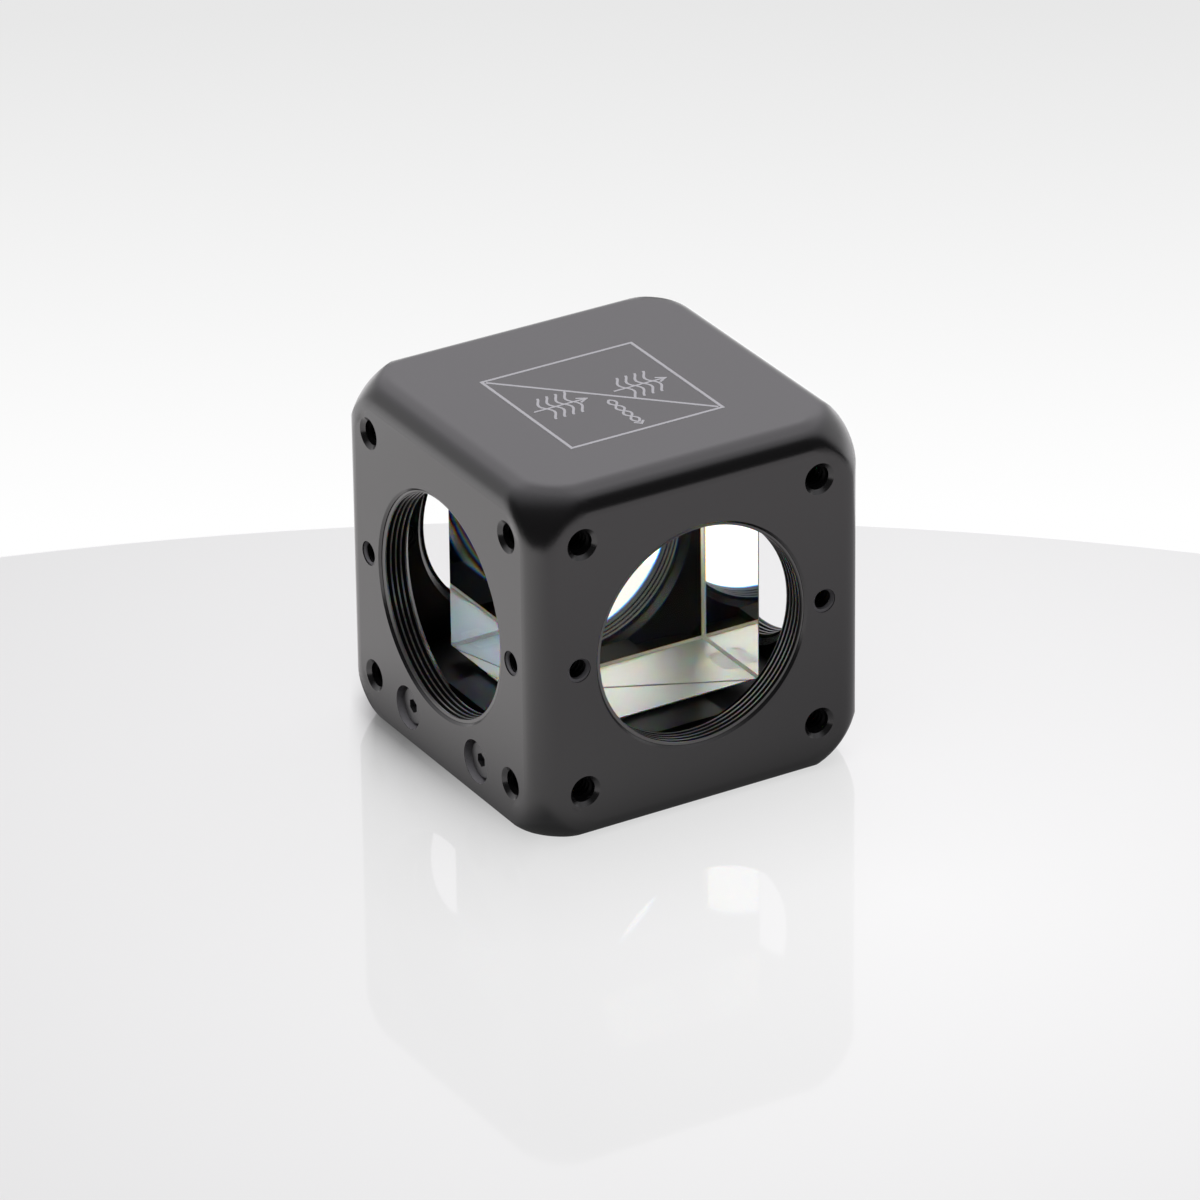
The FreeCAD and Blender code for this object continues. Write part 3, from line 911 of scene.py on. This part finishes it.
class CUBE_OT_diagram(CubeOperator, bpy.types.Operator):
    """Engrave the light diagram on the roof: square, diagonal, waves and rays"""
    bl_idname = "beamsplitter.diagram"
    bl_label = "Engraved Diagram"

    def execute(self, context):
        sizes = context.scene.cube_diagram
        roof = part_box("housing")[1].z
        span = (roof - sizes.depth, roof + sizes.level)
        lines = engraved_metal()
        left, right, front, back = sizes.left, sizes.right, sizes.front, sizes.back
        half = sizes.line / 2
        wide, tall = right - left + sizes.line, back - front + sizes.line
        mesh = bmesh.new()
        place = Matrix.Translation(((left + right) / 2, (front + back) / 2, span[0]))
        bmesh.ops.create_grid(
            mesh, x_segments=1, y_segments=1, size=0.5,
            matrix=place @ Matrix.Diagonal((wide, tall, 1, 1)),
        )
        inner = mesh.faces[:]
        bmesh.ops.inset_region(
            mesh, faces=inner, thickness=sizes.line, use_boundary=True, use_even_offset=True
        )
        bmesh.ops.delete(mesh, geom=inner, context="FACES_ONLY")
        raise_faces(mesh, mesh.faces[:], span[1] - span[0])
        new_piece("diagram_square", mesh, lines)
        mesh = bmesh.new()
        corner = half * 1.9  # keeps the diagonal's square ends inside the square's lines
        add_strip(
            mesh, [(left + corner, back - corner), (right - corner, front + corner)],
            sizes.line, span[0], span[1] - CROSSING,
        )
        new_piece("diagram_diagonal", mesh, lines)
        for name, middle in WAVE_GROUPS.items():
            self.wave_group("diagram_wave_" + name, middle, lines, span, sizes.stroke)
        self.braid("diagram_wave_turned", lines, span, sizes.stroke)
        return {"FINISHED"}

    def wave_group(self, name, middle, lines, span, stroke):
        """An arrow crossed by upright wave strokes."""
        mesh = bmesh.new()
        x, y = middle
        foot, top = span
        end = x + ARROW_REACH
        arrow = [(x - ARROW_REACH, y), (end, y)]
        head = [(end - HEAD_LONG, y + HEAD_HALF), (end, y), (end - HEAD_LONG, y - HEAD_HALF)]
        for points, lift in ((arrow, CROSSING), (head, 2 * CROSSING)):
            add_strip(mesh, metres(points), stroke, foot, top + lift)
        for place in range(WAVE_COUNT):
            across = x - WAVE_FIRST + WAVE_STEP * place
            points = []
            for step in range(WAVE_PARTS + 1):
                up = 1 - 2 * step / WAVE_PARTS
                bend = WAVE_SWING * math.sin(up * WAVE_TURNS * math.pi)
                points.append((across - bend, y + WAVE_REACH * up))
            add_strip(mesh, metres(points), stroke, *span)
        new_piece(name, mesh, lines)

    def braid(self, name, lines, span, stroke):
        """Two waves that cross on the way to the front, with an arrow's tip."""
        mesh = bmesh.new()
        foot, top = span
        x, run = BRAID_ACROSS, BRAID_FRONT - BRAID_BACK
        for sign, lift in ((-1, 0.0), (1, CROSSING)):
            points = []
            for step in range(BRAID_PARTS + 1):
                share = step / BRAID_PARTS
                bend = sign * BRAID_SWING * math.sin(share * BRAID_TURNS * math.pi)
                points.append((x + bend, BRAID_BACK + run * share))
            add_strip(mesh, metres(points), stroke, foot, top + lift)
        rear, nose = BRAID_FRONT + TIP_BACK, BRAID_FRONT - TIP_ON
        tip = [(x - TIP_HALF, rear), (x, nose), (x + TIP_HALF, rear)]
        add_strip(mesh, metres(tip), stroke, foot, top + 2 * CROSSING)
        new_piece(name, mesh, lines)


class CUBE_OT_stage(CubeOperator, bpy.types.Operator):
    """Set the round table, the pale backdrop, the studio light and the camera"""
    bl_idname = "beamsplitter.stage"
    bl_label = "Stage"

    def execute(self, context):
        sizes = context.scene.cube_stage
        away = sizes.table_back - sizes.table_radius
        middle = VIEW * away + VIEW_LEFT * sizes.table_aside
        self.add_table(sizes, middle)
        self.light_world(context.scene)
        self.add_lamp()
        self.add_camera(context.scene, sizes)
        context.scene.view_settings.view_transform = "Standard"
        return {"FINISHED"}

    def add_table(self, sizes, centre):
        mesh = bmesh.new()
        bmesh.ops.create_cone(
            mesh, cap_ends=True, segments=256, radius1=sizes.table_radius,
            radius2=sizes.table_radius, depth=sizes.table_thick,
            matrix=Matrix.Translation(centre + Vector((0, 0, -sizes.table_thick / 2))),
        )
        rims = [edge for edge in mesh.edges if len({round(v.co.z, 6) for v in edge.verts}) == 1]
        bmesh.ops.bevel(
            mesh, geom=rims, offset=TABLE_ROUND, segments=3, profile=0.5, affect="EDGES",
            material=-1,
        )
        data = bpy.data.meshes.new("table")
        mesh.to_mesh(data)
        mesh.free()
        table = bpy.data.objects.new("table", data)
        bpy.context.scene.collection.objects.link(table)
        data.materials.append(self.table_finish())

    def table_finish(self):
        """Glowing pale table with a painted pool of light and contact shadow; its painted mirror
        image fades from the cube.
        """
        material, shader = new_material("table_pale")
        x, y, _ = shader.parts(shader.object_point())
        # A painted pool of light, paler round a point in front of the cube
        painted_pool = (1.0 - hypotenuse(x - POOL_X, y - POOL_Y) / POOL_RADIUS).clamped()
        # Painted reflection of the table: dark in front, black past a ring, pale to the left
        leftward = ((y - x) / LEFT_RUN + 0.5).clamped()
        far = ((hypotenuse(x - DARK_X, y) - DARK_START) / DARK_RUN).clamped()
        onward = ((0.0 - y - HALF) / FRONT_RUN).clamped()
        front = shader.mix_colour(onward, opaque((0.36, 0.35, 0.36)), opaque((0.69, 0.655, 0.67)))
        front = shader.mix_colour(far, front, grey(0.0))
        painted_reflection = shader.mix_colour(leftward, front, opaque((1.05, 1.02, 1.02)))
        beside, before = (
            ((abs(place) - HALF) / FADE_SPAN).clamped() * FADE_SPAN for place in (x, y)
        )
        away = (hypotenuse(beside, before) / CONTACT).clamped()
        # Painted shade: the painted reflection goes dark near the cube's foot
        painted_reflection = shader.mix_colour((1.0 - away) ** 4.0, painted_reflection, grey(0.1))
        seen = shader.ray("Is Camera Ray", "Is Transmission Ray")
        glossy = shader.ray("Is Glossy Ray")
        # Painted contact shadow round the cube's foot and before its left face
        under = ((HALF - y + (x + HALF) * 1.7) / 0.006).clamped()
        shaded = ((1.0 - away) ** 6.0) * ((y - x) / 0.03).clamped() * under * 0.9
        # The first sheet, at the cube's foot, is painted darker as shade; the second lies farther
        # away
        sheets = []
        for dim, bright, gloss in ((0.50, 0.70, 0.5), (0.57, 0.76, 0.1)):
            tone = shader.mix_colour(painted_pool, grey(dim), grey(bright))
            tone = shader.mix_colour(shaded, tone, grey(0.1))
            glow = shader.mix_colour(seen, grey(0.0), tone)
            sheets.append(shader.principled({
                "Base Color": grey(0.15),
                "Roughness": 0.04,
                "Specular IOR Level": gloss,
                "Emission Color": shader.mix_colour(glossy, glow, painted_reflection),
                "Emission Strength": 1.0,
            }))
        shader.finish(shader.mixed(away ** 0.6, *sheets))
        return material

    def light_world(self, scene):
        """A broad soft light above and behind, a dark room on the camera's side.

        Light that has passed the glass finds a brighter room behind the ports.
        """
        world = bpy.data.worlds.new("studio")
        scene.world = world
        shader = Shader(world)
        x, y, up = shader.parts(shader.node("ShaderNodeTexCoord").outputs["Generated"])
        behind = x * VIEW.x + y * VIEW.y
        above = behind * LIGHT_BEHIND + up * LIGHT_ABOVE
        softbox = shader.node("ShaderNodeValToRGB", {"stops": SOFTBOX}, {0: above * 0.5 + 0.5})
        low = ((0.05 - up) / 0.2).clamped()
        rising = ((behind - 0.06) / 0.26).clamped() * (low * 0.4 + 0.6)
        rear = shader.mix_colour(rising, grey(0.0), opaque((1.35, 1.33, 1.35)))
        light = shader.mix_colour(1.0, softbox.outputs[0], rear, "LIGHTEN")
        backdrop = shader.node("ShaderNodeValToRGB", {"stops": BACKDROP}, {0: up * 0.5 + 0.5})
        seen = shader.ray("Is Camera Ray", "Is Transmission Ray")
        through = shader.ray("Is Transmission Ray")
        seen_through = shader.mix_colour(through, backdrop.outputs[0], opaque((2.1, 2.1, 2.15)))
        shade = shader.mix_colour(seen, light, seen_through)
        shader.finish(
            shader.node("ShaderNodeBackground", {}, {0: shade, 1: 1.0}).outputs[0],
            "ShaderNodeOutputWorld",
        )

    def add_lamp(self):
        """A broad soft lamp overhead that lifts the shadows but shows in no reflection."""
        data = bpy.data.lights.new("softbox", "AREA")
        data.shape, data.size = "DISK", LAMP_WIDTH
        data.energy = LAMP_POWER
        lamp = bpy.data.objects.new("softbox", data)
        lamp.location = LAMP_PLACE
        lamp.rotation_euler = (-LAMP_PLACE).to_track_quat("-Z", "Y").to_euler()
        lamp.visible_glossy = lamp.visible_transmission = lamp.visible_camera = False
        bpy.context.scene.collection.objects.link(lamp)

    def add_camera(self, scene, sizes):
        data = bpy.data.cameras.new("photo")
        data.sensor_width, data.lens = 36.0, sizes.lens
        data.clip_start, data.clip_end = 0.01, 100.0
        camera = bpy.data.objects.new("photo", data)
        place = CAMERA_AIM + Vector((0, 0, MIDDLE)) - CAMERA_FORWARD * sizes.distance
        turn = Matrix((CAMERA_RIGHT, CAMERA_UP, -CAMERA_FORWARD)).transposed().to_4x4()
        camera.matrix_world = Matrix.Translation(place) @ turn
        scene.collection.objects.link(camera)
        scene.camera = camera


class CUBE_PT_steps(bpy.types.Panel):
    """Lists the steps and the sizes they use"""
    bl_idname = "CUBE_PT_steps"
    bl_label = "Beamsplitter Cube"
    bl_space_type = "VIEW_3D"
    bl_region_type = "UI"
    bl_category = "Beamsplitter"

    def draw(self, context):
        for step in STEPS:
            self.layout.operator(step.bl_idname)
        for group, kind in GROUPS.items():
            box = self.layout.box()
            for name in kind.__annotations__:
                box.prop(getattr(context.scene, group), name)


STEPS = (
    CUBE_OT_metal, CUBE_OT_port_threads, CUBE_OT_hole_threads, CUBE_OT_glass,
    CUBE_OT_adhesive, CUBE_OT_screws, CUBE_OT_diagram, CUBE_OT_stage,
)


def register():
    for kind in (*GROUPS.values(), *STEPS, CUBE_PT_steps):
        bpy.utils.register_class(kind)
    for name, kind in GROUPS.items():
        setattr(bpy.types.Scene, name, bpy.props.PointerProperty(type=kind))


def unregister():
    for name in GROUPS:
        delattr(bpy.types.Scene, name)
    for kind in reversed((*GROUPS.values(), *STEPS, CUBE_PT_steps)):
        bpy.utils.unregister_class(kind)


def main():
    for item in list(bpy.context.scene.objects):
        if item.name in ("Cube", "Light", "Camera"):
            bpy.data.objects.remove(item)
    register()
    for step in STEPS:
        group, name = step.bl_idname.split(".")
        getattr(getattr(bpy.ops, group), name)()


if __name__ == "__main__":
    main()
